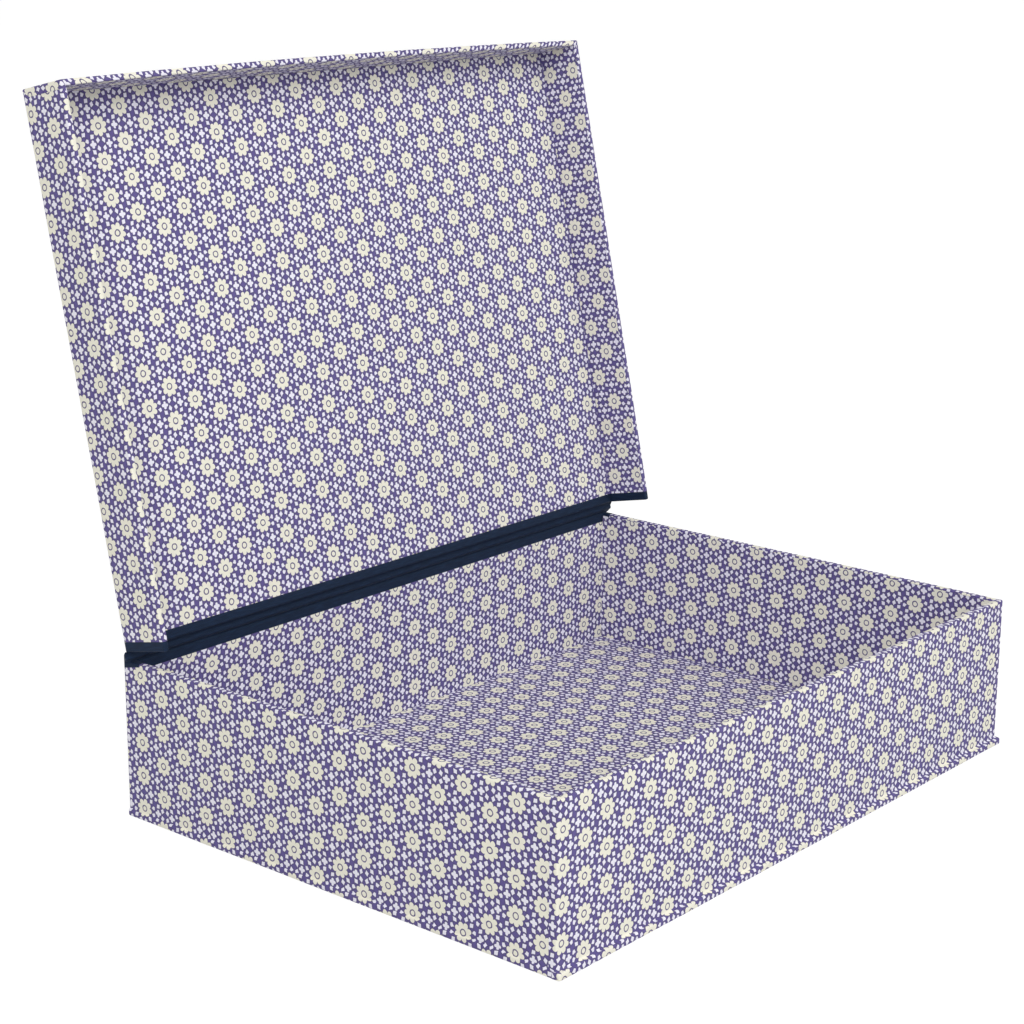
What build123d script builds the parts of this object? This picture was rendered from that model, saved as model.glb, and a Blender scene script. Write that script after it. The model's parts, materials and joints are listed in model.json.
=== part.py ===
"""A card box file with a cloth-hinged lid, in millimetres.

The origin is on the underside, midway between the tray's front and back faces.
+X runs along the hinge, +Y to the back and +Z up. The lid stands open, as far back
as its hinge cloth lets it lean. Every card piece is covered with pasted paper or book
cloth, so each covered face is set out first and the card lies one skin inside it.
"""

from build123d import *
import math
import os

# Driving dimensions of the tray
tray_width = 335.0  # over the paper on the side walls
tray_depth = 247.0  # from the paper on the front wall to the cloth on the spine
tray_height = 73.0  # from the table to the papered top of the walls
tray_card = 2.5  # card of the base, the spine and the walls
skin = 0.3  # paper or book cloth, with its paste
front_ledge = 2.4  # how far the base stands out in front of the front wall
side_ledge = 1.2  # how far the base stands out beside each side wall

# Driving dimensions of the lid
lid_card = 2.0  # card of the panel and the lips
lip_depth = 24.0  # from the inside of the panel to the edge of a lip
lip_clearance = 0.9  # between the tray's outside and the inside of the lips
lid_rest_gap = 0.2  # between the shut lid and the tops of the walls
open_angle = 102.5  # how far the lid turns from shut to where its cloth stops it

# Driving dimensions of the hinge
joint_width = 2.6  # between the shut panel's end and the card of the spine
pivot_forward = 1.5  # the hinge line lies this far in front of the spine's card
pivot_above = 1.4  # and this far above the top of the spine
cloth_band = 4.5  # width of cloth that shows on the lid and down the back wall's inside
corner_tab_length = 11.0  # cloth turned round the tray's top corners, along the side wall
corner_tab_drop = 3.8  # and its height down the side wall, at the back

# Faces of the tray, over the paper and the cloth
half_width = tray_width / 2
front_face = -tray_depth / 2
back_face = tray_depth / 2
wall_thickness = tray_card + 2 * skin
base_top = skin + tray_card
floor_level = base_top + skin
base_half_width = half_width + side_ledge
base_front = front_face - front_ledge
spine_front = back_face - skin - tray_card
back_wall_front = spine_front - tray_card
inside_half_width = half_width - wall_thickness
inside_front = front_face + wall_thickness
inside_back = back_wall_front - skin
cloth_edge_level = tray_height - cloth_band

# Faces of the lid as it lies shut
panel_thickness = lid_card + 2 * skin
panel_inside_level = tray_height + lid_rest_gap
panel_outside_level = panel_inside_level + panel_thickness
spine_top = panel_outside_level
lid_end_y = spine_front - joint_width
lip_inside_x = half_width + lip_clearance
lip_inside_y = front_face - lip_clearance
pivot_y = spine_front - pivot_forward
pivot_z = spine_top + pivot_above

# The same faces in the lid's own axes, which start at the hinge line and turn with it
panel_in = panel_inside_level - pivot_z
panel_out = panel_outside_level - pivot_z
lip_edge = panel_in - lip_depth
lid_end = lid_end_y - pivot_y
lid_half_width = lip_inside_x + panel_thickness
lid_front = lip_inside_y - panel_thickness - pivot_y
lip_in_y = lip_inside_y - pivot_y
cloth_start = lid_end - cloth_band
panel_card_under = panel_in + skin

open_turn = math.radians(open_angle)
lid_plane = Plane(
    origin=(0, pivot_y, pivot_z),
    x_dir=(1, 0, 0),
    z_dir=(0, math.sin(open_turn), math.cos(open_turn)),
)

os.makedirs("parts", exist_ok=True)


def block(x, y, z, base=Plane.XY, mode=Mode.ADD):
    """Adds a straight block to the part in hand, between two limits on each axis of base."""
    with BuildSketch(base.offset(z[0])) as outline:
        with Locations(((x[0] + x[1]) / 2, (y[0] + y[1]) / 2)):
            Rectangle(x[1] - x[0], y[1] - y[0])
    extrude(outline.sketch, amount=z[1] - z[0], mode=mode)


def across(half):
    """Limits that lie alike on both sides of the middle."""
    return (-half, half)


def beside(side, inner, outer):
    """Limits along X of a piece at the left, side -1, or at the right, side 1."""
    return (inner, outer) if side > 0 else (-outer, -inner)


def save(builder, name):
    """Labels a finished piece and writes it as one STEP file."""
    builder.part.label = name
    export_step(builder.part, f"parts/{name}.step")


# Card of the tray
with BuildPart() as base_board:
    block(across(base_half_width - skin), (base_front + skin, spine_front), (skin, base_top))
save(base_board, "base_board")

with BuildPart() as spine_board:
    block(across(half_width - skin), (spine_front, back_face - skin), (skin, spine_top - skin))
save(spine_board, "spine_board")

wall_levels = (base_top, tray_height - skin)

with BuildPart() as front_wall:
    block(across(half_width - skin), (front_face + skin, inside_front - skin), wall_levels)
save(front_wall, "front_wall")

with BuildPart() as back_wall:
    block(across(half_width - skin), (back_wall_front, spine_front), wall_levels)
save(back_wall, "back_wall")

for side, name in ((-1, "left_wall"), (1, "right_wall")):
    with BuildPart() as side_wall:
        block(
            beside(side, inside_half_width + skin, half_width - skin),
            (inside_front - skin, back_wall_front),
            wall_levels,
        )
    save(side_wall, name)

# Sheet under the base
with BuildPart() as base_paper:
    block(across(base_half_width), (base_front, back_face), (0, skin))
save(base_paper, "base_paper")

# Printed paper outside the tray: the base's edge, the ledge, the wall and its top
with BuildPart() as front_cover_paper:
    block(across(base_half_width), (base_front, base_front + skin), (skin, floor_level))
    block(across(base_half_width - skin), (base_front + skin, front_face), (base_top, floor_level))
    block(across(half_width), (front_face, front_face + skin), (base_top, tray_height))
    block(
        across(half_width - skin),
        (front_face + skin, inside_front - skin),
        (tray_height - skin, tray_height),
    )
save(front_cover_paper, "front_cover_paper")

for side, name in ((-1, "left_cover_paper"), (1, "right_cover_paper")):
    with BuildPart() as side_cover_paper:
        block(
            beside(side, base_half_width - skin, base_half_width),
            (base_front + skin, spine_front),
            (skin, floor_level),
        )
        block(
            beside(side, half_width - skin, base_half_width - skin),
            (front_face + skin, spine_front),
            (base_top, floor_level),
        )
        block(
            beside(side, half_width, base_half_width - skin),
            (front_face, front_face + skin),
            (base_top, floor_level),
        )
        block(
            beside(side, half_width - skin, half_width),
            (front_face + skin, back_face - skin),
            (base_top, tray_height),
        )
        block(
            beside(side, half_width - skin, half_width),
            (spine_front, back_face - skin),
            (skin, base_top),
        )
        block(
            beside(side, inside_half_width + skin, half_width - skin),
            (inside_front - skin, back_wall_front),
            (tray_height - skin, tray_height),
        )
    save(side_cover_paper, name)

# Printed paper inside the tray
with BuildPart() as floor_lining:
    block(
        across(inside_half_width + skin),
        (inside_front - skin, back_wall_front),
        (base_top, floor_level),
    )
save(floor_lining, "floor_lining")

with BuildPart() as front_lining:
    block(
        across(inside_half_width + skin),
        (inside_front - skin, inside_front),
        (floor_level, tray_height),
    )
save(front_lining, "front_lining")

with BuildPart() as back_lining:
    block(
        across(inside_half_width + skin),
        (inside_back, back_wall_front),
        (floor_level, cloth_edge_level),
    )
save(back_lining, "back_lining")

for side, name in ((-1, "left_lining"), (1, "right_lining")):
    with BuildPart() as side_lining:
        block(
            beside(side, inside_half_width, inside_half_width + skin),
            (inside_front, inside_back),
            (floor_level, tray_height),
        )
    save(side_lining, name)

# Book cloth of the spine, with a tab turned round each top corner of the tray
with BuildPart() as outer_hinge_cloth:
    block(across(half_width), (back_face - skin, back_face), (skin, spine_top))
    block(across(half_width), (spine_front, back_face - skin), (spine_top - skin, spine_top))
    for side in (-1, 1):
        block(
            beside(side, half_width - skin, half_width),
            (spine_front, back_face - skin),
            (tray_height, spine_top - skin),
        )
        with BuildSketch(Plane.YZ.offset(side * (half_width + skin / 2))) as tab_outline:
            with BuildLine():
                Polyline(
                    (back_face, tray_height - corner_tab_drop),
                    (back_face, spine_top),
                    (spine_front, spine_top),
                    (spine_front, tray_height),
                    (back_face - corner_tab_length, tray_height),
                    close=True,
                )
            make_face()
        extrude(tab_outline.sketch, amount=skin / 2, both=True)
save(outer_hinge_cloth, "outer_hinge_cloth")

# Book cloth over the back wall's top, up the spine and down the inside
with BuildPart() as inner_hinge_cloth:
    block(
        across(half_width - skin),
        (back_wall_front, spine_front),
        (tray_height - skin, tray_height),
    )
    block(
        across(half_width - skin),
        (spine_front - skin, spine_front),
        (tray_height, spine_top),
    )
    block(
        across(inside_half_width + skin),
        (inside_back, back_wall_front),
        (cloth_edge_level, tray_height),
    )
save(inner_hinge_cloth, "inner_hinge_cloth")

# Card of the lid, in the lid's own axes
with BuildPart() as lid_board:
    block(
        across(lid_half_width - skin),
        (lid_front + skin, lid_end - skin),
        (panel_card_under, panel_out - skin),
        lid_plane,
    )
save(lid_board, "lid_board")

lip_card_levels = (lip_edge + skin, panel_card_under)

with BuildPart() as lid_front_lip:
    block(
        across(lid_half_width - skin),
        (lid_front + skin, lip_in_y - skin),
        lip_card_levels,
        lid_plane,
    )
save(lid_front_lip, "lid_front_lip")

for side, name in ((-1, "lid_left_lip"), (1, "lid_right_lip")):
    with BuildPart() as lid_side_lip:
        block(
            beside(side, lip_inside_x + skin, lid_half_width - skin),
            (lip_in_y - skin, lid_end - skin),
            lip_card_levels,
            lid_plane,
        )
    save(lid_side_lip, name)

# Printed paper outside the lid: one sheet over the panel, down the lips and round their edges
with BuildPart() as lid_cover_paper:
    block(
        across(lid_half_width),
        (lid_front, cloth_start),
        (lip_edge, panel_out),
        lid_plane,
    )
    block(
        across(lid_half_width - skin),
        (lid_front + skin, cloth_start),
        (lip_edge + skin, panel_out - skin),
        lid_plane,
        Mode.SUBTRACT,
    )
    block(
        across(lip_inside_x + skin),
        (lip_in_y - skin, cloth_start),
        (lip_edge, lip_edge + skin),
        lid_plane,
        Mode.SUBTRACT,
    )
save(lid_cover_paper, "lid_cover_paper")

# Printed paper inside the lid
with BuildPart() as lid_lining:
    block(
        across(lip_inside_x),
        (lip_in_y, cloth_start),
        (panel_in, panel_card_under),
        lid_plane,
    )
save(lid_lining, "lid_lining")

with BuildPart() as lid_front_lip_lining:
    block(
        across(lip_inside_x + skin),
        (lip_in_y - skin, lip_in_y),
        (lip_edge, panel_card_under),
        lid_plane,
    )
save(lid_front_lip_lining, "lid_front_lip_lining")

for side, name in ((-1, "lid_left_lip_lining"), (1, "lid_right_lip_lining")):
    with BuildPart() as lid_side_lip_lining:
        block(
            beside(side, lip_inside_x, lip_inside_x + skin),
            (lip_in_y, cloth_start),
            (lip_edge, panel_card_under),
            lid_plane,
        )
    save(lid_side_lip_lining, name)

# Book cloth round the lid's end: over the panel, and round each side lip
with BuildPart() as lid_hinge_cloth:
    block(across(lid_half_width), (cloth_start, lid_end), (panel_out - skin, panel_out), lid_plane)
    block(
        across(lid_half_width),
        (lid_end - skin, lid_end),
        (panel_card_under, panel_out - skin),
        lid_plane,
    )
    block(across(lip_inside_x), (cloth_start, lid_end), (panel_in, panel_card_under), lid_plane)
save(lid_hinge_cloth, "lid_hinge_cloth")

for side, name in ((-1, "left_lip_end_cloth"), (1, "right_lip_end_cloth")):
    with BuildPart() as lip_end_cloth:
        block(
            beside(side, lip_inside_x, lid_half_width),
            (cloth_start, lid_end),
            (lip_edge, panel_card_under),
            lid_plane,
        )
        block(
            beside(side, lip_inside_x + skin, lid_half_width - skin),
            (cloth_start, lid_end - skin),
            lip_card_levels,
            lid_plane,
            Mode.SUBTRACT,
        )
        block(
            beside(side, lid_half_width - skin, lid_half_width),
            (cloth_start, lid_end - skin),
            (panel_card_under, panel_out - skin),
            lid_plane,
        )
    save(lip_end_cloth, name)

# Flexing strip of cloth between the tray and the open lid's end
lid_end_inside = lid_plane.from_local_coords(Vector(0, lid_end, panel_in))
lid_end_outside = lid_plane.from_local_coords(Vector(0, lid_end, panel_out))
with BuildPart() as hinge_joint_cloth:
    with BuildSketch(Plane.YZ) as joint_outline:
        with BuildLine():
            Polyline(
                (inside_back, tray_height),
                (lid_end_inside.Y, lid_end_inside.Z),
                (lid_end_outside.Y, lid_end_outside.Z),
                (spine_front - skin, spine_top),
                (spine_front - skin, tray_height),
                close=True,
            )
        make_face()
    extrude(joint_outline.sketch, amount=half_width - skin, both=True)
save(hinge_joint_cloth, "hinge_joint_cloth")
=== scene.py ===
"""Covers the card frame of a box file with printed paper and book cloth, and lights it on a pale floor.

Places are in metres, in the frame's own axes: +X along the hinge, +Y to the back and +Z up. The lid's
pieces are set out in the lid's own axes, which start at the hinge line, and are then turned to where the
lid stands open. Every covering is a thin closed sheet, folded from a flat one, and it keeps the place that
each of its points had on the flat sheet, so that the print and the weave follow the folds.
"""

import json
import math

import bpy
import numpy as np
from bpy.props import FloatProperty, FloatVectorProperty, IntProperty, PointerProperty
from mathutils import Matrix, Vector


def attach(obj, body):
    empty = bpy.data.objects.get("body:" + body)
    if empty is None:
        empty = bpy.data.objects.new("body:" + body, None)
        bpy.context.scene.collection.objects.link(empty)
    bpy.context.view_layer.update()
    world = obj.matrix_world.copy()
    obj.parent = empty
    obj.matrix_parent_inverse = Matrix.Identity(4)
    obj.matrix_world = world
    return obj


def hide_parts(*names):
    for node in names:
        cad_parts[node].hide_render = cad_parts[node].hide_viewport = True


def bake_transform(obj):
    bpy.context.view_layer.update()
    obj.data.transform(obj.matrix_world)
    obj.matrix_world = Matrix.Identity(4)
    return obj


bl_info = {
    "name": "Box file",
    "version": (1, 0, 0),
    "blender": (4, 5, 0),
    "location": "3D View > Sidebar > Box file",
    "description": "Covers the card frame of a box file with printed paper and book cloth",
    "category": "Add Mesh",
}

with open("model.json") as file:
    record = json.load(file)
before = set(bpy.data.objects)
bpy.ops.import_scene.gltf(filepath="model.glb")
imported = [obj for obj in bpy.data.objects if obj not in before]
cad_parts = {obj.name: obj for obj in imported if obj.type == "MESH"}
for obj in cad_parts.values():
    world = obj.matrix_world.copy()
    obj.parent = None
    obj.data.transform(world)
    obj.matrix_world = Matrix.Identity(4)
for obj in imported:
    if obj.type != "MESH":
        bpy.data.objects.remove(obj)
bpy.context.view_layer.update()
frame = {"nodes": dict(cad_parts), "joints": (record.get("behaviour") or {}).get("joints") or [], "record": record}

mm = 0.001
quarter = math.pi / 2
sides = ((-1, "left"), (1, "right"))
hinge = frame["joints"][0]
hinge_y = hinge["pos_m"][1]
hinge_z = hinge["pos_m"][2]
lean = math.radians(hinge["range_deg"][1])
skin = 0.3 * mm  # the frame leaves this much for each covering


def stacked(*parts):
    """Arrays of like shape, and numbers, as the coordinates of places."""
    return np.stack(np.broadcast_arrays(*parts), axis=-1)


def node_box(node, in_lid=False):
    """Lowest and highest corner of a card or covering of the frame.

    With in_lid they are in the lid's own axes: the places are moved to the hinge line and turned back by
    the angle at which the lid stands open.
    """
    mesh = frame["nodes"][node].data
    places = np.empty(len(mesh.vertices) * 3)
    mesh.vertices.foreach_get("co", places)
    places = places.reshape(-1, 3)
    if in_lid:
        back = places[:, 1] - hinge_y
        rise = places[:, 2] - hinge_z
        places[:, 1] = back * math.cos(lean) - rise * math.sin(lean)
        places[:, 2] = back * math.sin(lean) + rise * math.cos(lean)
    return places.min(axis=0), places.max(axis=0)


def from_lid(places):
    """Places in the frame of points given in the lid's own axes: they are turned by the open angle about
    the hinge line, and moved to it."""
    x, y, z = np.moveaxis(places, -1, 0)
    back = hinge_y + y * math.cos(lean) + z * math.sin(lean)
    rise = hinge_z - y * math.sin(lean) + z * math.cos(lean)
    return stacked(x, back, rise)


# Faces of the tray, over its coverings
tray_half, tray_back, spine_top = node_box("outer_hinge_cloth")[1]
front_low, front_high = node_box("front_cover_paper")
base_half = front_high[0]
base_front = front_low[1]
tray_top = front_high[2]
tray_front = node_box("front_wall")[0][1] - skin
lining_high = node_box("front_lining")[1]
inside_half = lining_high[0] - skin
inside_front = lining_high[1]
inside_back, floor_level = node_box("back_lining")[0][1:]
cloth_level = node_box("back_lining")[1][2]
spine_front = node_box("spine_board")[0][1]
side_ledge = base_half - tray_half
front_ledge = tray_front - base_front
wall = tray_half - inside_half

# Faces of the lid, in its own axes
lid_low, lid_high = node_box("lid_cover_paper", in_lid=True)
lid_half, cloth_start, panel_out = lid_high
lid_front = lid_low[1]
lip_edge = lid_low[2]
lining_low, lining_high = node_box("lid_lining", in_lid=True)
lid_inside_half = lining_high[0]
lip_in = lining_low[1]
panel_in = lining_low[2]
lid_end = node_box("lid_hinge_cloth", in_lid=True)[1][1]
lip = lid_half - lid_inside_half

# The record's slot for each finish, and the material that it gets here
finishes = {
    "printed_paper": "offset_printed_paper",
    "book_cloth": "woven_book_cloth",
    "greyboard": "pressed_greyboard",
}


def linear(code):
    """Linear red, green and blue of an sRGB hex code."""
    coded = np.array([int(code[at : at + 2], 16) for at in (1, 3, 5)]) / 255
    plain = np.where(coded <= 0.04045, coded / 12.92, ((coded + 0.055) / 1.055) ** 2.4)
    return tuple(float(part) for part in plain)


def number(name, description, default, least=0.0, **limits):
    """A number that a user may change."""
    return FloatProperty(name=name, description=description, default=default, min=least, **limits)


def size(name, description, default, least=0.0, **limits):
    """A length that a user may change. Its default and its least value are given in millimetres."""
    return number(name, description, default * mm, least * mm, unit="LENGTH", **limits)


def ink(name, description, code):
    """A colour that a user may change, given as an sRGB hex code."""
    return FloatVectorProperty(
        name=name, description=description, default=linear(code), subtype="COLOR", min=0.0, max=1.0
    )


class BoxFileForm(bpy.types.PropertyGroup):
    """Sizes of the folds and of the cloth."""

    sheet_depth: size(
        "Sheet thickness", "Thickness of the paper and the book cloth, with their paste", 0.28, 0.05
    )
    fold_radius: size(
        "Fold radius", "Radius of the paper where it turns over an edge of the card", 0.8, 0.1, max=1.0 * mm
    )
    corner_lap: size(
        "Corner lap", "How far the front sheet runs round a corner over the side sheet", 3.0, 1.0
    )
    lap_step: size("Lap step", "How far a sheet that laps another stands out from it", 0.16)
    lining_drop: size("Lining drop", "How far a lining ends below the edge of its wall or lip", 0.9)
    ripple: size("Ripple", "Height of the slow ripples that the paste leaves in the sheets", 0.12)
    lip_bow: size(
        "Front lip bow", "How far the free edge of the front lip bows outwards at its middle", 1.6
    )
    joint_half: size(
        "Joint half-width", "Half the width of the free cloth between the tray and the lid", 171.0, 100.0
    )
    tab_length: size(
        "Corner cloth length",
        "Length along the side wall of the cloth that is turned round a top corner",
        10.0,
        4.0,
    )


class BoxFilePrint(bpy.types.PropertyGroup):
    """Sizes and inks of the repeating print."""

    repeat: number(
        "Repeat", "Distance between neighbouring rosettes, in millimetres on the sheet", 15.6, 8.0
    )
    rosette: number("Rosette radius", "Radius of a rosette, in millimetres on the sheet", 4.6, 1.0)
    ground: ink("Ground", "Ink of the ground", "#665b98")
    ground_deep: ink(
        "Ground, deep", "Ink of the ground where two inks meet at the rim of a motif", "#4f4769"
    )
    cream: ink("Cream", "Colour of the rosettes", "#f7f4e4")
    pale: ink("Pale lilac", "Colour of the lozenges and the small flowers", "#f6f4ff")


class BoxFileCloth(bpy.types.PropertyGroup):
    """Threads and dye of the book cloth, and the painted shade between its threads."""

    thread: number(
        "Thread spacing",
        "Distance between threads, in millimetres, as coarse as it needs to be to show",
        0.62,
        0.2,
    )
    dye: ink("Dye", "Colour of the threads", "#182d4a")
    # Painted shade: the darker colour drawn in the gaps between the threads, where shade falls
    painted_gap_shade: ink("Dye, deep", "Colour between the threads", "#0d1c31")


class BoxFileStudio(bpy.types.PropertyGroup):
    """Light, floor and camera."""

    sky: number("Sky", "Strength of the even light from all around", 0.5)
    key: number("Key lamp", "Power of the large soft lamp at the front right", 7.4, unit="POWER")
    fill: number("Fill lamp", "Power of the large soft lamp above the camera", 27.0, unit="POWER")
    floor_half: size("Floor half-width", "Half the width of the floor", 12000.0, 1000.0)
    lens: number(
        "Lens", "Focal length of the camera in millimetres, for a sensor 36 mm wide", 82.05, 10.0
    )
    steps: IntProperty(name="Floor steps", description="Number of squares along the floor", default=8, min=1)


def folded(corners, radii, runs, arc=6):
    """A folded line across a sheet.

    It runs straight from corner to corner, and each corner between two runs is a circle of the given
    radius that touches both runs: a point at angle a along it is its start, plus the radius times sine a
    along the first run, plus the radius times one minus cosine a across it. runs and arc are the numbers
    of steps along each run and round each corner.
    """
    corners = np.asarray(corners, dtype=float)
    steps = np.diff(corners, axis=0)
    ways = steps / np.linalg.norm(steps, axis=1, keepdims=True)
    start = corners[0]
    pieces = []
    for number, radius in enumerate(radii):
        before = ways[number]
        after = ways[number + 1]
        turn = math.acos(float(np.clip(before @ after, -1, 1)))
        inward = (after - before * math.cos(turn)) / math.sin(turn)
        cut = radius * math.tan(turn / 2)
        begin = corners[number + 1] - before * cut
        along = np.linspace(0, 1, runs[number] + 1)[:, None]
        angle = np.linspace(0, turn, arc + 1)[1:-1, None]
        pieces.append(start + (begin - start) * along)
        pieces.append(begin + radius * (np.sin(angle) * before + (1 - np.cos(angle)) * inward))
        start = corners[number + 1] + after * cut
    along = np.linspace(0, 1, runs[-1] + 1)[:, None]
    pieces.append(start + (corners[-1] - start) * along)
    return np.concatenate(pieces)


def lengths(line):
    """Distance along a line from its start to each of its points."""
    steps = np.linalg.norm(np.diff(line, axis=0), axis=1)
    return np.concatenate([[0.0], np.cumsum(steps)])


def paste_ripple(places):
    """Height from 0 to 1 of the slow ripples at each place: half of one plus a mean of three sines that
    run in different directions, 40 to 90 mm long."""
    x, y, z = np.moveaxis(places / mm, -1, 0)
    first = np.sin(0.071 * x + 0.093 * y - 0.102 * z)
    second = np.sin(0.118 * x - 0.087 * y + 0.064 * z + 1.3)
    third = np.sin(-0.149 * x + 0.052 * y + 0.131 * z + 2.6)
    return 0.5 + (first + second + third) / 6


def quads(grid):
    """The corners of each square of a grid, as (square, corner, value)."""
    rings = [grid[:-1, :-1], grid[1:, :-1], grid[1:, 1:], grid[:-1, 1:]]
    return np.stack(rings, axis=2).reshape(-1, 4, grid.shape[-1])


def new_object(name, verts, faces):
    """A mesh object with the given corners and faces, in the scene."""
    mesh = bpy.data.meshes.new(name)
    mesh.from_pydata(verts.tolist(), [], faces.tolist())
    made = bpy.data.objects.new(name, mesh)
    bpy.context.scene.collection.objects.link(made)
    return made


def lay_sheet(name, patches, depth, body, finish, nodes, ripple=0.0, shift=(0.0, 0.0), turn=0.0):
    """Makes one thin closed sheet with a finish, which rides with a body and hides the given nodes.

    A patch is a grid of places and a grid of where each point lay on the flat sheet. Patches are joined
    where their places agree. The face is moved out by the paste's ripples. The underside is the face moved
    back by depth along the mean normal round each point, and a rim joins both along every open edge. The
    map sheet_mm holds the flat places in millimetres, turned and shifted as the sheet was cut from the
    roll, and OFBake holds them fitted to a square, with the underside in its low corner.
    """
    spots = np.concatenate([quads(places) for places, _ in patches])
    flats = np.concatenate([quads(flat) for _, flat in patches])
    keys = np.round(spots.reshape(-1, 3) / (0.001 * mm)).astype(np.int64)
    _, first, index = np.unique(keys, axis=0, return_index=True, return_inverse=True)
    verts = spots.reshape(-1, 3)[first]
    faces = index.reshape(-1, 4)
    normals = np.zeros_like(verts)
    across = np.cross(verts[faces[:, 2]] - verts[faces[:, 0]], verts[faces[:, 3]] - verts[faces[:, 1]])
    for corner in range(4):
        np.add.at(normals, faces[:, corner], across)
    normals /= np.linalg.norm(normals, axis=1, keepdims=True)
    verts = verts + normals * (ripple * paste_ripple(verts))[:, None]
    count = len(verts)
    under = verts - normals * depth

    # An edge is open if only one square uses it
    ties = np.sort(stacked(faces, np.roll(faces, -1, axis=1)).reshape(-1, 2), axis=1)
    _, tie, uses = np.unique(ties, axis=0, return_inverse=True, return_counts=True)
    open_edge = (uses[tie.reshape(-1)] == 1).reshape(-1, 4)

    def edge_ends(values):
        """The values at the start and at the end of each open edge."""
        return values[open_edge], np.roll(values, -1, axis=1)[open_edge]

    flat_start, flat_end = edge_ends(flats)
    centre = np.broadcast_to(flats.mean(axis=1, keepdims=True), flats.shape)[open_edge]
    out = (flat_start + flat_end) / 2 - centre
    out /= np.linalg.norm(out, axis=1, keepdims=True)

    def rim(values, width):
        """The places of the rim's squares on a map: a strip of the given width outside each open edge."""
        start, end = edge_ends(values)
        return np.stack([end, start, start + out * width, end + out * width], axis=1)

    start, end = edge_ends(faces)
    rims = stacked(end, start, start + count, end + count)
    all_faces = np.concatenate([faces, (faces + count)[:, ::-1], rims])

    all_flats = np.concatenate([flats, flats[:, ::-1], rim(flats, depth)]).reshape(-1, 2) / mm
    u, v = all_flats.T
    turned = stacked(
        u * math.cos(turn) - v * math.sin(turn) + shift[0],
        u * math.sin(turn) + v * math.cos(turn) + shift[1],
    )

    # Shares of the square: the face fills it but for a margin, and the underside lies small in that margin
    face_start = 0.05
    face_size = 0.945
    under_start = 0.005
    under_size = 0.035
    rim_size = 0.004
    low = flats.reshape(-1, 2).min(axis=0)
    high = flats.reshape(-1, 2).max(axis=0)
    fitted = (flats - low) / (high - low)
    on_face = face_start + face_size * fitted
    on_under = (under_start + under_size * fitted)[:, ::-1]
    all_bake = np.concatenate([on_face, on_under, rim(on_face, rim_size)])

    sheet = new_object(name, np.concatenate([verts, under]), all_faces)
    mesh = sheet.data
    for map_name, values in (("sheet_mm", turned), ("OFBake", all_bake)):
        mesh.uv_layers.new(name=map_name).data.foreach_set("uv", values.astype(np.float32).ravel())
    sheet_map = mesh.uv_layers["sheet_mm"]
    mesh.uv_layers.active = sheet_map
    sheet_map.active_render = True
    mesh.shade_smooth()
    mesh.set_sharp_from_angle(angle=math.radians(35))
    mesh.materials.append(bpy.data.materials[finishes[finish]])
    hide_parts(*nodes)
    if body:
        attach(sheet, body)
    return sheet


def lay_paper(name, node, body, patches, form, shift, turn, flatter=1.0):
    """Lays a sheet of printed paper with its paste's ripples, whose height is divided by flatter."""
    ripple = form.ripple / flatter
    lay_sheet(name, patches, form.sheet_depth, body, "printed_paper", [node], ripple, shift, turn)


def lay_cloth(name, nodes, body, patches, form):
    """Lays a sheet of book cloth, which rides with no body if body is None."""
    return lay_sheet(name, patches, form.sheet_depth, body, "book_cloth", nodes)


def flat_patch(start, along, across, squares):
    """A flat patch: start plus a share of along plus a share of across."""
    start, along, across = (np.asarray(part, dtype=float) for part in (start, along, across))
    first = np.linspace(0, 1, squares[0] + 1)[:, None]
    second = np.linspace(0, 1, squares[1] + 1)[None, :]
    places = start + first[..., None] * along + second[..., None] * across
    return places, stacked(first * np.linalg.norm(along), second * np.linalg.norm(across))


def corner_bend(radius, reach, side_reach):
    """Radius of a sheet's bend round an upright corner: the given one, less what the sheet stands in."""
    return np.clip(radius + np.minimum(reach, side_reach), 0.06 * mm, radius)


def round_front(half, front, line, side_reach, radius, lap, step):
    """A sheet carried along a front and round both of its corners.

    The folded line gives, across the sheet, how far it stands out (reach) and its level, and side_reach is
    its reach on the sides. Along the sheet, a point is on the left side, on the left corner, on the front,
    on the right corner or on the right side. A corner is a quarter of a circle that touches the front and
    the side: a point at angle a is the radius times sine a aside and times cosine a ahead of its middle.
    On the sides the sheet lies one step further out, over the side sheets, and goes on by lap.
    """
    reach, level = line.T
    bend = corner_bend(radius, reach, side_reach)
    turn = np.linspace(0, quarter, 7)
    run = np.linspace(1, 0, 5)[:-1]
    middle = np.linspace(-1, 1, 57)[1:-1]
    aside = np.full(len(run), quarter)
    angle = np.concatenate([-aside, turn - quarter, 0 * middle, turn, aside])[:, None]
    outer = np.ones(len(run) + len(turn))
    factor = np.concatenate([-outer, middle, outer])[:, None]
    share = np.concatenate([run, 0 * turn, 0 * middle, 0 * turn, run[::-1]])[:, None]
    x = factor * (half + side_reach - bend) + (bend + step) * np.sin(angle)
    y = front - reach + bend + share * lap - bend * np.cos(angle)
    flat = factor * (half - radius + share * lap) + radius * angle
    return stacked(x, y, level), stacked(flat, lengths(line))


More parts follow.
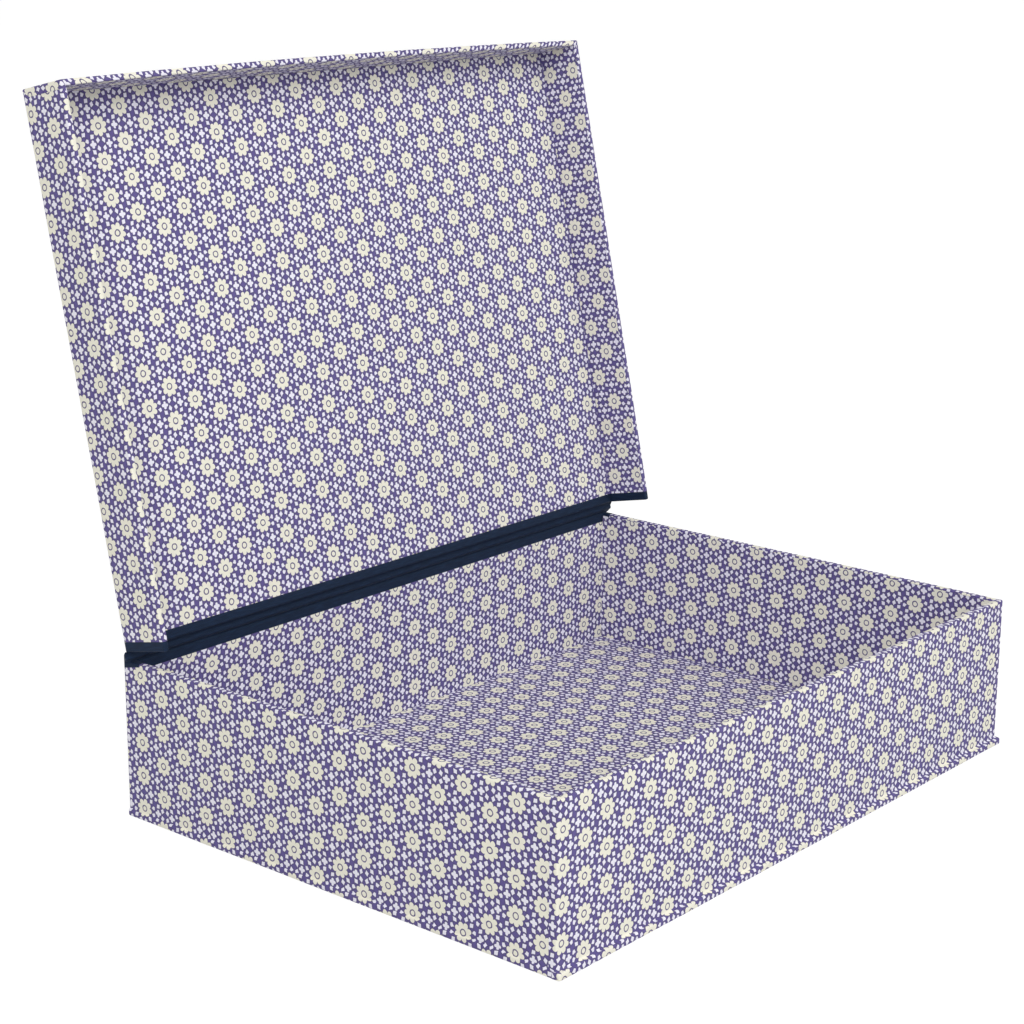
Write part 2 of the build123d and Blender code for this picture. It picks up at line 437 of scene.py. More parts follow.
def hung_across(section, halves, edge):
    """A cloth whose section, a line of (back, rise), is carried across the box.

    halves gives half of its width at each point of the section, which is evened out by a mean of five.
    Near both ends the cloth turns down by a quarter circle of radius edge: a point at angle a is edge
    times sine a further out, and edge times one minus cosine a behind the face.
    """
    halves = np.convolve(np.pad(halves, 2, mode="edge"), np.ones(5) / 5, mode="valid")
    ways = np.gradient(section, axis=0)
    ways /= np.linalg.norm(ways, axis=1, keepdims=True)
    turn = np.linspace(0, quarter, 5)[1:]
    middle = np.linspace(-1, 1, 61)
    outer = np.ones(len(turn))
    factor = np.concatenate([-outer, middle, outer])[:, None]
    angle = np.concatenate([-turn[::-1], 0 * middle, turn])[:, None]
    x = factor * (halves - edge) + edge * np.sin(angle)
    sunk = edge * (1 - np.cos(angle))
    back = section[:, 0] + ways[:, 1] * sunk
    rise = section[:, 1] - ways[:, 0] * sunk
    return stacked(x, back, rise), stacked(x, lengths(section))


def bowed(places, bow):
    """Bows the front lip outwards: by bow at the middle of its free edge, falling with the square of the
    distance from the middle to none at its ends, and evenly to none at the panel."""
    across = 1 - np.clip(places[..., 0] / lid_half, -1, 1) ** 2
    depth = np.clip((panel_out - places[..., 2]) / (panel_out - lip_edge), 0, 1)
    moved = places.copy()
    moved[..., 1] -= bow * across * depth
    return moved


def node_adder(tree):
    """Empties a node tree, and gives the function that adds a node to it."""
    tree.nodes.clear()

    def add(kind, inputs=(), **settings):
        """Adds a node with its settings, and joins each input to a node or a socket or gives it a value.
        A kind may end in a dot and its operation. The inputs of a dict go by name, and those of a list go
        in order to the sockets in use."""
        kind, _, operation = kind.partition(".")
        node = tree.nodes.new("ShaderNode" + kind)
        if operation:
            node.operation = operation
        for setting, value in settings.items():
            setattr(node, setting, value)
        if isinstance(inputs, dict):
            pairs = [(node.inputs[name], source) for name, source in inputs.items()]
        else:
            pairs = zip([socket for socket in node.inputs if socket.enabled], inputs)
        for socket, source in pairs:
            if isinstance(source, bpy.types.Node):
                source = next(output for output in source.outputs if output.enabled)
            if isinstance(source, bpy.types.NodeSocket):
                tree.links.new(source, socket)
            else:
                socket.default_value = source
        return node

    return add


def new_material(name):
    """An empty material, as the function that adds a node to it."""
    material = bpy.data.materials.new(name)
    material.use_nodes = True
    return node_adder(material.node_tree)


def strayed(add, sheet, scale, detail):
    """X and Y of places on the sheet, moved by a noise, a quarter of a millimetre at most."""
    noise = add("TexNoise", {"Vector": sheet, "Scale": scale, "Detail": detail})
    centred = add("VectorMath.SUBTRACT", [noise.outputs["Color"], (0.5, 0.5, 0.5)])
    stray = add("VectorMath.SCALE", [centred, 0.5])
    places = add("SeparateXYZ", [add("VectorMath.ADD", [sheet, stray])])
    return places.outputs["X"], places.outputs["Y"]


def polar(add, x, y):
    """Distance and angle of a place from the middle of its motif."""
    place = add("CombineXYZ", [x, y])
    return add("VectorMath.LENGTH", [place]), add("Math.ARCTAN2", [y, x])


def in_petals(add, distance, angle, folds, power, inner, petal):
    """How far a place is inside a motif with two petals to a fold: its rim is at inner plus petal times a
    power of the cosine, without its sign, of folds times the angle."""
    wave = add("Math.COSINE", [add("Math.MULTIPLY", [angle, folds])])
    lobes = add("Math.POWER", [add("Math.ABSOLUTE", [wave]), power])
    rim = add("Math.MULTIPLY_ADD", [lobes, petal, inner])
    return add("Math.SUBTRACT", [rim, distance])


def off_from(add, value, middle):
    """How far a value lies from a middle one, to either side."""
    return add("Math.ABSOLUTE", [add("Math.SUBTRACT", [value, middle])])


def printed_paper(look):
    """Uncoated decorative paper, offset printed in one violet ink round bare motifs.

    Uncoated stock is matt and takes the ink unevenly, so the ground is faintly mottled and the sheet has
    a fine tooth. The print is a half-drop repeat: rosettes of eight petals, each ringed by twelve
    lozenges, with a small flower of four petals wherever three rosettes meet. All sizes and depths in a
    motif are in millimetres.
    """
    add = new_material(finishes["printed_paper"])
    rise = look.repeat
    column_width = rise * math.sqrt(3) / 2
    petal_share = 0.36  # of the rosette's radius
    petal_power = 0.55  # below 1, so that the petals are blunt
    eye_ring = 1.35
    eye_ring_half = 0.26
    lozenge_ring = 6.3
    lozenge_half_width = 1.12
    lozenge_half_length = 1.4
    lozenge_slope = 0.85  # turns a lozenge's shares into millimetres
    flower_inner = 0.95
    flower_petal = 0.85
    blur = 0.1
    halo = 0.7  # the ground deepens over this much round a motif

    sheet = add("UVMap", uv_map="sheet_mm")
    # The edge of each printed shape wanders by a tenth of a millimetre or so, as ink spreads into the paper
    across, up = strayed(add, sheet, 0.55, 1.0)

    # Half-drop repeat: every second column is moved up by half of the rise
    column_share = add("Math.DIVIDE", [across, column_width])
    column = add("Math.ROUND", [column_share])
    odd = add("Math.FLOORED_MODULO", [column, 2.0])
    dropped = add("Math.MULTIPLY_ADD", [odd, rise / 2, up])
    x = add("Math.WRAP", [across, column_width / 2, -column_width / 2])
    y = add("Math.WRAP", [dropped, rise / 2, -rise / 2])
    row = add("Math.ROUND", [add("Math.DIVIDE", [dropped, rise])])
    chance = add("TexWhiteNoise", [add("CombineXYZ", [column, row])], noise_dimensions="2D")
    distance, angle = polar(add, x, y)

    # Each rosette is turned by chance, and has a ring of ground colour round its eye
    turned = add("Math.MULTIPLY_ADD", [chance, math.pi / 4, angle])
    petal = look.rosette * petal_share
    rosette_depth = in_petals(add, distance, turned, 4.0, petal_power, look.rosette - petal, petal)
    ring_gap = off_from(add, distance, eye_ring)
    ring_depth = add("Math.SUBTRACT", [ring_gap, eye_ring_half])
    rosette_shape = add("Math.MINIMUM", [rosette_depth, ring_depth])

    # Twelve lozenges round each rosette: the shares of their half-width and half-length add up to one
    # along their edges
    turn_in_ring = add("Math.WRAP", [angle, math.pi / 6, 0.0])
    from_axis = add("Math.MULTIPLY", [off_from(add, turn_in_ring, math.pi / 12), distance])
    outward = off_from(add, distance, lozenge_ring)
    width_share = add("Math.DIVIDE", [from_axis, lozenge_half_width])
    both_shares = add("Math.MULTIPLY_ADD", [outward, 1 / lozenge_half_length, width_share])
    lozenge_depth = add("Math.MULTIPLY_ADD", [both_shares, -lozenge_slope, lozenge_slope])

    # Small flowers where three rosettes meet
    flower_x, flower_y = (
        add("Math.SUBTRACT", [add("Math.ABSOLUTE", [part]), middle])
        for part, middle in ((x, column_width / 3), (y, rise / 2))
    )
    flower_depth = in_petals(add, *polar(add, flower_x, flower_y), 2.0, 1.0, flower_inner, flower_petal)

    pale_depth = add("Math.MAXIMUM", [lozenge_depth, flower_depth])
    motif_depth = add("Math.MAXIMUM", [rosette_shape, pale_depth])
    near_motif = add("MapRange", [motif_depth, -halo, -blur])

    # Uneven ink: specks of half a millimetre and slow clouds of about 2 cm
    specks = add("TexNoise", {"Vector": sheet, "Scale": 1.6, "Detail": 3.0})
    clouds = add("TexNoise", {"Vector": sheet, "Scale": 0.05, "Detail": 2.0})
    mottle = add("Math.MULTIPLY_ADD", [clouds, 0.3, add("Math.MULTIPLY", [specks, 0.7])])
    deepening = add("Math.MULTIPLY", [near_motif, 0.55])
    uneven = add("MapRange", [mottle, 0.3, 0.7, 0.0, 0.24])
    deep_share = add("Math.ADD", [deepening, uneven], use_clamp=True)
    pale_share, cream_share = (
        add("MapRange", [depth, -blur, blur], interpolation_type="SMOOTHSTEP")
        for depth in (pale_depth, rosette_shape)
    )
    colour = (*look.ground, 1.0)
    for share, shade in ((deep_share, look.ground_deep), (pale_share, look.pale), (cream_share, look.cream)):
        colour = add("Mix", [share, colour, (*shade, 1.0)], data_type="RGBA")

    # Tooth of the paper: its grain is about 0.1 mm, drawn at about 0.5 mm so that it shows
    tooth = add("TexNoise", {"Vector": sheet, "Scale": 2.2, "Detail": 3.0})
    bump = add("Bump", {"Strength": 0.25, "Distance": 0.06 * mm, "Height": tooth})
    roughness = add("MapRange", [mottle, 0.3, 0.7, 0.66, 0.82])
    looks = {"Base Color": colour, "Roughness": roughness, "Normal": bump, "IOR": 1.45}
    add("OutputMaterial", [add("BsdfPrincipled", looks | {"Specular IOR Level": 0.35})])


def book_cloth(look):
    """Plain-woven rayon book cloth, dyed navy and backed with paper.

    The threads catch a faint sheen, and here and there a thread is thicker. The colour follows the
    threads' height: painted shade darkens the gaps between them, and painted highlights lighten their
    crowns and the thick slubs. The real threads lie about 0.3 mm apart, too fine to show, so they are
    drawn twice as far apart.
    """
    add = new_material(finishes["book_cloth"])
    sheet = add("UVMap", uv_map="sheet_mm")
    # Warp and weft wander a little, and a wave is two threads long: one on top, and one below
    warp, weft = (
        add("Math.SINE", [add("Math.MULTIPLY", [way, math.pi / look.thread])])
        for way in strayed(add, sheet, 0.35, 2.0)
    )
    crossing = add("Math.MULTIPLY", [warp, weft])
    height = add("Math.MULTIPLY_ADD", [crossing, 0.5, 0.5])
    # Slubs: short thick places, drawn out along the threads that run across the box
    stretched = add("Mapping", {"Vector": sheet, "Scale": (0.16, 1.5, 1.0)})
    slubs = add("TexNoise", {"Vector": stretched, "Scale": 1.0, "Detail": 3.0})
    slub_share = add("MapRange", [slubs, 0.42, 0.68])
    # Painted light and shade of the weave: thread crowns and slubs are drawn lighter, the gaps between threads
    # darker
    crown_highlight = add("Math.MULTIPLY", [height, 0.45])
    light = add("Math.MULTIPLY_ADD", [slub_share, 0.55, crown_highlight], use_clamp=True)
    colour = add("Mix", [light, (*look.painted_gap_shade, 1.0), (*look.dye, 1.0)], data_type="RGBA")
    raised = add("Math.MULTIPLY_ADD", [slub_share, 0.5, height])
    bump = add("Bump", {"Strength": 0.5, "Distance": 0.12 * mm, "Height": raised})
    looks = {"Base Color": colour, "Roughness": 0.72, "Normal": bump, "IOR": 1.47}
    sheen = {"Specular IOR Level": 0.22, "Sheen Weight": 0.03, "Sheen Roughness": 0.45}
    add("OutputMaterial", [add("BsdfPrincipled", looks | sheen)])


def greyboard():
    """Grey board, pressed from waste paper: matt and warm grey, with darker and lighter fibres in it."""
    add = new_material(finishes["greyboard"])
    place = add("TexCoord").outputs["Object"]
    fibres = add("TexNoise", {"Vector": place, "Scale": 900.0, "Detail": 4.0, "Roughness": 0.7})
    share = add("MapRange", [fibres, 0.35, 0.65])
    dark, light = ((*linear(code), 1.0) for code in ("#847d72", "#a39c8f"))
    colour = add("Mix", [share, dark, light], data_type="RGBA")
    bump = add("Bump", {"Strength": 0.4, "Distance": 0.1 * mm, "Height": fibres})
    looks = {"Base Color": colour, "Roughness": 0.9, "Normal": bump}
    add("OutputMaterial", [add("BsdfPrincipled", looks)])


class BoxFileOperator:
    """What all operators here share."""

    bl_options = {"REGISTER", "UNDO"}


class BOXFILE_OT_finishes(BoxFileOperator, bpy.types.Operator):
    """Make the paper, the book cloth and the grey board, and give the card its board"""

    bl_idname = "boxfile.finishes"
    bl_label = "Finishes"

    def execute(self, context):
        printed_paper(context.scene.box_file_print)
        book_cloth(context.scene.box_file_cloth)
        greyboard()
        board = bpy.data.materials[finishes["greyboard"]]
        for part in frame["record"]["subparts"]:
            if part["material_slot"] == "greyboard":
                node = frame["nodes"][part["node"]]
                node.data.materials.clear()
                node.data.materials.append(board)
        return {"FINISHED"}


class BOXFILE_OT_tray_covers(BoxFileOperator, bpy.types.Operator):
    """Cover the outside of the tray, and the underside of the base"""

    bl_idname = "boxfile.tray_covers"
    bl_label = "Tray covers"

    def execute(self, context):
        form = context.scene.box_file_form
        fold = form.fold_radius
        front_line = self.cover_line(fold, front_ledge, (0.7 * mm, 0.9 * mm))
        side_line = self.cover_line(fold, side_ledge, (0.5 * mm, 0.6 * mm))
        side_reach = side_line[:, 0]
        lap = form.corner_lap
        patch = round_front(tray_half, tray_front, front_line, side_reach, fold, lap, form.lap_step)
        lay_paper("front_cover", "front_cover_paper", "tray", [patch], form, (3.0, 7.5), 0.004)

        # Each side sheet ends a little under the front one, and just short of the back
        bend = corner_bend(fold, front_line[:, 0], side_reach)
        front_end = tray_front - front_line[:, 0] + bend + 0.6 * mm
        back_end = tray_back - 0.5 * mm
        share = np.linspace(0, 1, 57)[:, None]
        for (side, name), shift in zip(sides, ((5.2, 1.0), (9.5, 12.0))):
            # The sheet runs from the back to the front on the left, and on from there on the right
            y = back_end + share[::-side] * (front_end - back_end)
            places = stacked(side * (tray_half + side_reach), y, side_line[:, 1])
            patch = places, stacked(side * y, lengths(side_line))
            turn = -0.006 * side
            lay_paper(f"{name}_cover", f"{name}_cover_paper", "tray", [patch], form, shift, turn)

        inset = 3 * mm
        patch = flat_patch(
            (base_half - inset, base_front + inset, 0.0),
            (2 * (inset - base_half), 0.0, 0.0),
            (0.0, tray_back - base_front - 2 * inset, 0.0),
            (12, 8),
        )
        depth = form.sheet_depth
        lay_sheet("base_sheet", [patch], depth, "tray", "printed_paper", ["base_paper"], shift=(1.0, 4.0))
        return {"FINISHED"}

    def cover_line(self, fold, ledge, ledge_folds):
        """The folded line of a cover, as reach and level: from under the base round its edge, up the wall,
        over its top and a little way down inside, behind the lining."""
        turned_in = 9 * mm
        above_floor = 0.15 * mm
        behind = 0.25 * mm
        drop = 2.2 * mm
        corners = [
            (ledge - turned_in, above_floor),
            (ledge, above_floor),
            (ledge, floor_level),
            (0.0, floor_level),
            (0.0, tray_top),
            (-wall, tray_top),
            (behind - wall, tray_top - drop),
        ]
        return folded(corners, [0.5 * mm, *ledge_folds, fold, 0.6 * mm], [3, 2, 2, 28, 3, 2])


class BOXFILE_OT_tray_linings(BoxFileOperator, bpy.types.Operator):
    """Line the inside of the tray"""

    bl_idname = "boxfile.tray_linings"
    bl_label = "Tray linings"

    def execute(self, context):
        form = context.scene.box_file_form
        low = np.array([-inside_half, inside_front, floor_level])
        # The ways along the box's axes, as far as the linings go
        height = tray_top - form.lining_drop - floor_level
        width, depth, rise = np.diag([2 * inside_half, inside_back - inside_front, height])
        back_rise = np.array([0.0, 0.0, cloth_level - floor_level])
        linings = (
            ("floor", low, width, depth, (6.0, 3.0), 0.003),
            ("front", low + width, -width, rise, (2.0, 9.0), 0.005),
            ("back", low + depth, width, back_rise, (11.0, 5.0), 0.0),
            ("left", low, depth, rise, (4.0, 2.0), -0.004),
            ("right", low + width + depth, -depth, rise, (7.5, 10.0), 0.006),
        )
        for name, start, along, across, shift, turn in linings:
            patch = flat_patch(start, along, across, (60, 24))
            lay_paper(f"{name}_liner", f"{name}_lining", "tray", [patch], form, shift, turn)
        return {"FINISHED"}


class BOXFILE_OT_lid_cover(BoxFileOperator, bpy.types.Operator):
    """Cover the outside of the lid with one sheet, turned down over its lips and round their edges"""

    bl_idname = "boxfile.lid_cover"
    bl_label = "Lid cover"

    def execute(self, context):
        form = context.scene.box_file_form
        fold = form.fold_radius
        lining_fold = 0.5 * mm
        edge_fold = 0.7 * mm
        behind = 0.25 * mm
        end_level = lip_edge + 2.0 * mm
        inner = lid_half - lip
        right = [(lid_half, panel_out), (lid_half, lip_edge), (inner, lip_edge), (inner + behind, end_level)]
        left = [(-x, z) for x, z in reversed(right)]
        radii = [lining_fold, edge_fold, fold, fold, edge_fold, lining_fold]
        line = folded(left + right, radii, [2, 3, 12, 60, 12, 3, 2])
        along = np.linspace(0, 1, 45)[:, None]
        y = cloth_start + along * (lid_front + fold - cloth_start)
        gone = lengths(line)
        panel = from_lid(stacked(line[:, 0], y, line[:, 1])), stacked(gone[-1] / 2 - gone, -y)

        front_corners = [
            (behind - lip, end_level),
            (-lip, lip_edge),
            (0.0, lip_edge),
            (0.0, panel_out),
            (-fold - 0.02 * mm, panel_out),
        ]
        front_line = folded(front_corners, [lining_fold, edge_fold, fold], [2, 3, 14, 1])
        # The front flap laps the side flaps, less and less towards the panel, where they are one sheet
        lap = form.corner_lap * np.clip((panel_out - fold - front_line[:, 1]) / form.corner_lap, 0.03, 1)
        reach = front_line[:, 0]
        places, flat = round_front(lid_half, lid_front, front_line, reach, fold, lap, form.lap_step)
        # On the flat sheet the flap goes on from the panel's front fold
        flat = stacked(-flat[..., 0], -lid_front - fold + flat[0, -1, 1] - flat[..., 1])
        flap = from_lid(bowed(places, form.lip_bow)), flat
        lay_paper("lid_cover", "lid_cover_paper", "lid", [panel, flap], form, (2.5, 6.0), 0.003)
        return {"FINISHED"}


class BOXFILE_OT_lid_linings(BoxFileOperator, bpy.types.Operator):
    """Line the inside of the lid and of its lips, and bow the front lip's card"""

    bl_idname = "boxfile.lid_linings"
    bl_label = "Lid linings"

    def execute(self, context):
        form = context.scene.box_file_form
        low = np.array([-lid_inside_half, cloth_start, panel_in])
        # The ways along the lid's own axes, as far as the linings go: across, forwards and down a lip
        down = lip_edge + form.lining_drop - panel_in
        width, forward, deep = np.diag([2 * lid_inside_half, lip_in - cloth_start, down])
        linings = (
            ("lid", low, width, forward, (8.0, 4.0), 0.0),
            ("lid_front_lip", low + forward, width, deep, (3.0, 11.0), 0.004),
            ("lid_left_lip", low, forward, deep, (5.5, 8.0), 0.0),
            ("lid_right_lip", low + width + forward, -forward, deep, (1.0, 3.5), -0.005),
        )
        for name, start, along, across, shift, turn in linings:
            places, flat = flat_patch(start, along, across, (60, 24))
            if name == "lid_front_lip":
                places = bowed(places, form.lip_bow)
            patch = from_lid(places), flat
            # The panel's lining lies flatter, to clear the tray's top when the lid is shut
            flatter = 3.0 if name == "lid" else 1.0
            lay_paper(f"{name}_liner", f"{name}_lining", "lid", [patch], form, shift, turn, flatter)

        places, flat = flat_patch(
            (skin - lid_half, lid_front + skin, lip_edge + skin),
            (2 * (lid_half - skin), 0, 0),
            (0, 0, panel_in - lip_edge),
            (60, 8),
        )
        patch = from_lid(bowed(places, form.lip_bow)), flat
        lay_sheet("front_lip_card", [patch], lip - 2 * skin, "lid", "greyboard", ["lid_front_lip"])
        return {"FINISHED"}


class BOXFILE_OT_hinge_cloths(BoxFileOperator, bpy.types.Operator):
    """Lay the two book cloths of the hinge, which run folded from the tray to the lid"""

    bl_idname = "boxfile.hinge_cloths"
    bl_label = "Hinge cloths"

    def execute(self, context):
        form = context.scene.box_file_form
        # Both cloths go on a little behind the lining or the cover that laps them
        lapped = 0.6 * mm
        tucked = 0.12 * mm
        inner_end, outer_end = from_lid(stacked(0, lid_end, [panel_in, panel_out]))[:, 1:]
        bands = stacked(0, cloth_start - lapped, [panel_in + tucked, panel_out - tucked])
        inner_band, outer_band = from_lid(bands)[:, 1:]
        groove = np.array([hinge_y - 0.7 * mm, hinge_z + 0.1 * mm])

        # From the inside of the back wall over its top, round a roll and a groove, to the lid's inside
        corners = [
            (inside_back + tucked, cloth_level - lapped),
            (inside_back, tray_top),
            (spine_front - 1.1 * mm, tray_top + 0.05 * mm),  # foot of the roll
            (spine_front - 3.4 * mm, spine_top - 0.8 * mm),  # front of the roll
            groove,
            outer_end + 0.12 * (inner_end - outer_end),
            inner_end,
            inner_band,
        ]
        radii = np.array([0.5, 0.3, 1.4, 0.3, 0.2, 0.7]) * mm
        inner_line = folded(corners, radii, [6, 2, 3, 3, 3, 4, 6], 8)
        # It is as wide as the tray inside, then as the tray, the joint and the inside of the lid
        rise = inner_line[:, 1]
        roll_start = tray_top + 0.06 * mm
        halves = np.full(len(inner_line), form.joint_half)
        halves[rise < roll_start] = tray_half - 0.3 * mm
        halves[rise < tray_top - 0.6 * mm] = inside_half
        halves[rise > outer_end[1]] = lid_inside_half
        inner_cloth = hung_across(inner_line, halves, 0.3 * mm)
        in_roll = np.flatnonzero((rise > roll_start) & (rise < outer_end[1] - 0.1 * mm))

        # From the lid's outside down into the joint, over the top of the spine and down its back
        corners = [
            outer_band,
            outer_end,
            groove + (0.3 * mm, -0.5 * mm),
            (spine_front, spine_top),
            (tray_back, spine_top),
            (tray_back, skin),
        ]
        band_steps = 6
        radii = np.array([0.35, 0.6, 0.2, 0.8]) * mm
        outer_line = folded(corners, radii, [band_steps, 3, 4, 3, 24], 8)
        rise = outer_line[:, 1]
        halves = np.full(len(outer_line), tray_half)
        halves[rise > spine_top + 0.15 * mm] = form.joint_half
        halves[: band_steps + 1] = lid_half
        outer_cloth = hung_across(outer_line, halves, 0.5 * mm)
        in_gap = np.flatnonzero((rise > spine_top + 0.05 * mm) & (rise < outer_end[1]))[::-1]

        patches = [inner_cloth]
        for end in (0, -1):
            patches.append(self.joint_end(form, inner_cloth[0][end, in_roll], outer_cloth[0][end, in_gap]))
        corner_cloths = [
            lay_cloth(
                f"{name}_corner_cloth", ["outer_hinge_cloth"], "tray", self.corner_tab(form, side), form
            )
            for side, name in sides
        ]
        inner = lay_cloth("inner_hinge", ["inner_hinge_cloth", "hinge_joint_cloth"], None, patches, form)
        outer = lay_cloth("outer_hinge", ["outer_hinge_cloth", "lid_hinge_cloth"], None, [outer_cloth], form)
        # As wide as the lid at one end, and as the tray along the rest of its length
        for cloth in (inner, outer):
            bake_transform(cloth)
        return {"FINISHED"}

    def joint_end(self, form, front, back):
        """The cloth turned in at one end of the joint, between the end lines of both cloths.

        A point goes straight from the front line to the back line, which is drawn on down the side of the
        spine, and stands out beside it by the sine of pi times how far it has gone.
        """
        bulge = 0.35 * mm
        out = math.copysign(1.0, front[0, 0])
        levels = np.array([tray_top + 0.05 * mm, spine_top - 0.3 * mm])
        spine = stacked(out * (tray_half + form.lap_step + 0.05 * mm), spine_front + 0.5 * mm, levels)
        back = np.concatenate([spine, back])
        passed = lengths(back)
        gone = lengths(front)
        at = gone / gone[-1] * passed[-1]
        back = stacked(*(np.interp(at, passed, values) for values in back.T))
        share = np.linspace(0, 1, 9)[:, None]
        places = front + share[..., None] * (back - front)
        places[..., 0] += out * bulge * np.sin(math.pi * share)
        # On the flat cloth it is a flap beside the roll
        flat = stacked(front[0, 0] + out * (1 + 3 * share) * mm, gone)
        order = int(out)
        return places[::order], flat[::order]

    def corner_tab(self, form, side):
        """The end of the cloth turned round a top corner of the tray: over the side of the spine, and
        along the side wall and over its top."""
        # Places across the wall, and levels
        out = tray_half + form.lap_step
        inside = inside_half - form.lap_step
        over = tray_top + 0.13 * mm
        end = tray_top - form.lining_drop - 0.3 * mm
        bottom = tray_top - 4 * mm
        # Places along the wall: where the cloth ends, where the spine begins and where its back is
        tip = tray_back - form.tab_length
        joint = spine_front - 0.2 * mm
        foot = tray_back - 0.4 * mm
        share = np.linspace(0, 1, 13)[:, None]

        def lower_edge(y):
            """Level of the cloth's lower edge, which drops evenly towards the back."""
            return tray_top - 1.2 * mm - 2.3 * mm * (y - tip) / form.tab_length

        corners = [(out, bottom), (out, over), (inside, over), (inside, end)]
        outside_steps = 4
        line = folded(corners, [form.fold_radius, 0.6 * mm], [outside_steps, 3, 2])
        gone = lengths(line)
        # Only the outside run stretches to the lower edge
        stretch = np.zeros(len(line))
        stretch[: outside_steps + 1] = np.linspace(1, 0, outside_steps + 1)
        y = tip + share * (joint - tip)
        lowered = stretch * (lower_edge(y) - bottom)
        # On the flat cloth it lies beside the lid's end
        start = lid_half + 2 * mm - tip
        on_wall = stacked(side * line[:, 0], y, line[:, 1] + lowered)
        wall_flat = stacked(side * (start + y), gone + lowered)
        # Over the side of the spine
        y = joint + share * (foot - joint)
        low = lower_edge(y)
        z = low + np.linspace(0, 1, 8) * (spine_top - 0.35 * mm - low)
        on_spine = stacked(side * out, y, z)
        spine_flat = stacked(side * (start + y), z - bottom)
        return [(on_wall[::side], wall_flat[::side]), (on_spine[::side], spine_flat[::side])]


class BOXFILE_OT_lip_ends(BoxFileOperator, bpy.types.Operator):
    """Wrap book cloth round the lower end of each side lip"""

    bl_idname = "boxfile.lip_ends"
    bl_label = "Lip end cloths"

    def execute(self, context):
        form = context.scene.box_file_form
        # Round the end of the lip, from its inside to its outside
        corners = [
            (lid_inside_half, cloth_start),
            (lid_inside_half, lid_end),
            (lid_half, lid_end),
            (lid_half, cloth_start),
        ]
        line = folded(corners, [0.6 * mm, 0.6 * mm], [5, 2, 5])
        middle = (lid_inside_half + lid_half) / 2
        half = lip / 2
        # Down the lip, then round its free edge to its middle: sunk is how far in from the faces
        turn = np.linspace(0, quarter, 6)[1:]
        radius = 0.7 * mm
        levels = np.linspace(panel_out - 0.3 * mm, lip_edge + radius, 16)
        level = np.concatenate([levels, lip_edge + radius * (1 - np.sin(turn)), [lip_edge]])
        sunk = np.concatenate([0 * levels, radius * (1 - np.cos(turn)), [half - 0.02 * mm]])
        drop = lengths(stacked(level, sunk))
        inward = sunk[:, None]
        x = middle + (line[:, 0] - middle) * (half - inward) / half
        long = lid_end - cloth_start
        y = cloth_start + (line[:, 1] - cloth_start) * (long - inward) / long
        around = lengths(line)
        flat = stacked(drop[:, None], around)
        for side, name in sides:
            places = from_lid(stacked(side * x, y, level[:, None]))
            patch = places[::-side], flat[::-side] * (-side, 1)
            cloth = lay_cloth(f"{name}_lip_end", [f"{name}_lip_end_cloth"], "lid", [patch], form)
        return {"FINISHED"}


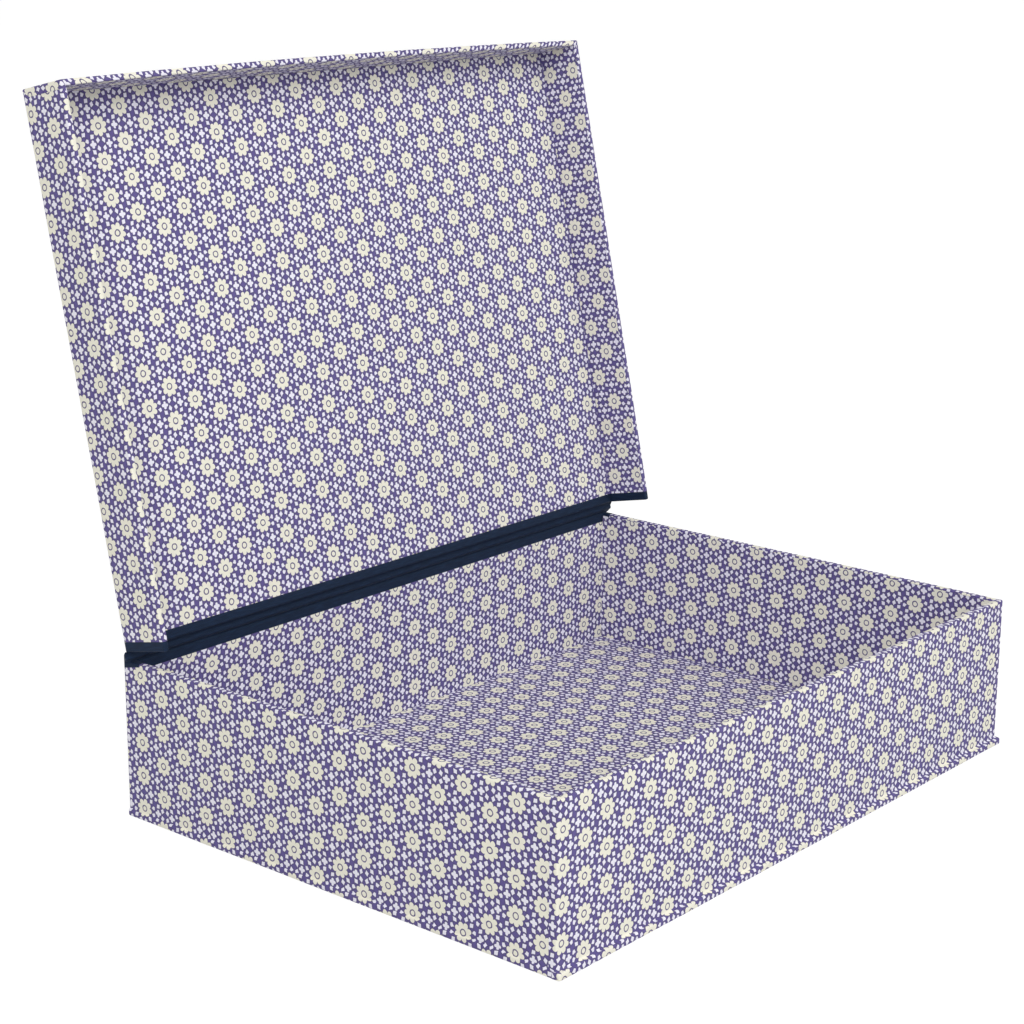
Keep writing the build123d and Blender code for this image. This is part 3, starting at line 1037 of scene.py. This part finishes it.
class BOXFILE_OT_studio(BoxFileOperator, bpy.types.Operator):
    """Make the floor, the light and the camera"""

    bl_idname = "boxfile.studio"
    bl_label = "Studio"

    def execute(self, context):
        studio = context.scene.box_file_studio
        self.floor(studio)
        self.sky(context.scene, studio)
        self.lamps(context.scene, studio)
        self.camera(context.scene, studio)
        return {"FINISHED"}

    def floor(self, studio):
        """A level square just under the box, pale by itself and paler to the camera."""
        half = studio.floor_half
        below = 0.05 * mm
        squares = (studio.steps, studio.steps)
        places, _ = flat_patch((-half, -half, -below), (2 * half, 0, 0), (0, 2 * half, 0), squares)
        index = np.arange(places[..., 0].size).reshape(*places.shape[:2], 1)
        floor = new_object("floor", places.reshape(-1, 3), quads(index)[..., 0])
        add = new_material("studio_floor")
        share = add("Math.MULTIPLY", [self.seen_by_camera(add), 0.66])
        matt = add("BsdfDiffuse", {"Color": (*linear("#cfcfcf"), 1.0)})
        white = add("Emission", {"Strength": 1.36})
        add("OutputMaterial", [add("MixShader", [share, matt, white])])
        floor.data.materials.append(bpy.data.materials["studio_floor"])

    def seen_by_camera(self, add):
        """1 for rays that come from the camera, straight or by way of gloss or glass, and 0 for light."""
        path = add("LightPath").outputs
        gloss = add("Math.ADD", [path["Is Camera Ray"], path["Is Glossy Ray"]])
        return add("Math.ADD", [gloss, path["Is Transmission Ray"]], use_clamp=True)

    def sky(self, scene, studio):
        """Even white light from all around, and plain white where the camera sees past the floor."""
        world = bpy.data.worlds.new("studio_sky")
        world.use_nodes = True
        scene.world = world
        add = node_adder(world.node_tree)
        strength = add("Math.MULTIPLY_ADD", [self.seen_by_camera(add), 1.0 - studio.sky, studio.sky])
        add("OutputWorld", [add("Background", [(1.0, 1.0, 1.0, 1.0), strength])])

    def lamps(self, scene, studio):
        """Two large soft lamps that face the middle of the box."""
        middle = np.array([0.0, 0.02, 0.12])
        for name, power, place, width in (
            ("key_lamp", studio.key, (0.45, -1.7, 1.25), 1.4),
            ("fill_lamp", studio.fill, (-1.45, -1.35, 1.45), 1.6),
        ):
            data = bpy.data.lights.new(name, "AREA")
            data.shape = "DISK"
            data.size = width
            data.energy = power
            lamp = bpy.data.objects.new(name, data)
            scene.collection.objects.link(lamp)
            lamp.matrix_world = self.facing(np.array(place), middle - place, 0.0)

    def camera(self, scene, studio):
        """The camera, from a fit to the box's edges: 1.1 m away to the front left, a little above."""
        place = np.array([-0.79774, -0.63654, 0.40545])
        turn = math.radians(-49.583)
        down = math.radians(15.201)
        roll = 0.2907
        data = bpy.data.cameras.new("camera")
        data.sensor_width = 36.0
        data.lens = studio.lens
        data.clip_start = 0.05
        data.clip_end = 60.0
        camera = bpy.data.objects.new("camera", data)
        scene.collection.objects.link(camera)
        way = np.array([-math.sin(turn) * math.cos(down), math.cos(turn) * math.cos(down), -math.sin(down)])
        camera.matrix_world = self.facing(place, way, roll)
        scene.camera = camera

    def facing(self, place, way, roll):
        """A matrix that puts something at a place and turns its -Z to the given way, with its +X level
        but for a roll in degrees."""
        turned = Vector(way).to_track_quat("-Z", "Y").to_matrix().to_4x4()
        return Matrix.Translation(place) @ turned @ Matrix.Rotation(math.radians(roll), 4, "Z")


class BOXFILE_PT_panel(bpy.types.Panel):
    """Lists the steps of the box file and the sizes that they use."""

    bl_idname = "BOXFILE_PT_panel"
    bl_label = "Box file"
    bl_space_type = "VIEW_3D"
    bl_region_type = "UI"
    bl_category = "Box file"

    def draw(self, context):
        for step in operators:
            self.layout.operator(step.bl_idname)
        for name in groups:
            group = getattr(context.scene, name)
            box = self.layout.box()
            for field in group.__annotations__:
                box.prop(group, field)


operators = (
    BOXFILE_OT_finishes,
    BOXFILE_OT_tray_covers,
    BOXFILE_OT_tray_linings,
    BOXFILE_OT_lid_cover,
    BOXFILE_OT_lid_linings,
    BOXFILE_OT_hinge_cloths,
    BOXFILE_OT_lip_ends,
    BOXFILE_OT_studio,
)
groups = {
    "box_file_form": BoxFileForm,
    "box_file_print": BoxFilePrint,
    "box_file_cloth": BoxFileCloth,
    "box_file_studio": BoxFileStudio,
}


def register():
    for name, group in groups.items():
        bpy.utils.register_class(group)
        setattr(bpy.types.Scene, name, PointerProperty(type=group))
    for kind in (*operators, BOXFILE_PT_panel):
        bpy.utils.register_class(kind)


def unregister():
    for kind in (BOXFILE_PT_panel, *reversed(operators)):
        bpy.utils.unregister_class(kind)
    for name, group in groups.items():
        delattr(bpy.types.Scene, name)
        bpy.utils.unregister_class(group)


def main():
    register()
    bpy.context.scene.view_settings.view_transform = "Standard"
    bpy.ops.boxfile.finishes()
    bpy.ops.boxfile.tray_covers()
    bpy.ops.boxfile.tray_linings()
    bpy.ops.boxfile.lid_cover()
    bpy.ops.boxfile.lid_linings()
    bpy.ops.boxfile.hinge_cloths()
    bpy.ops.boxfile.lip_ends()
    bpy.ops.boxfile.studio()


if __name__ == "__main__":
    main()
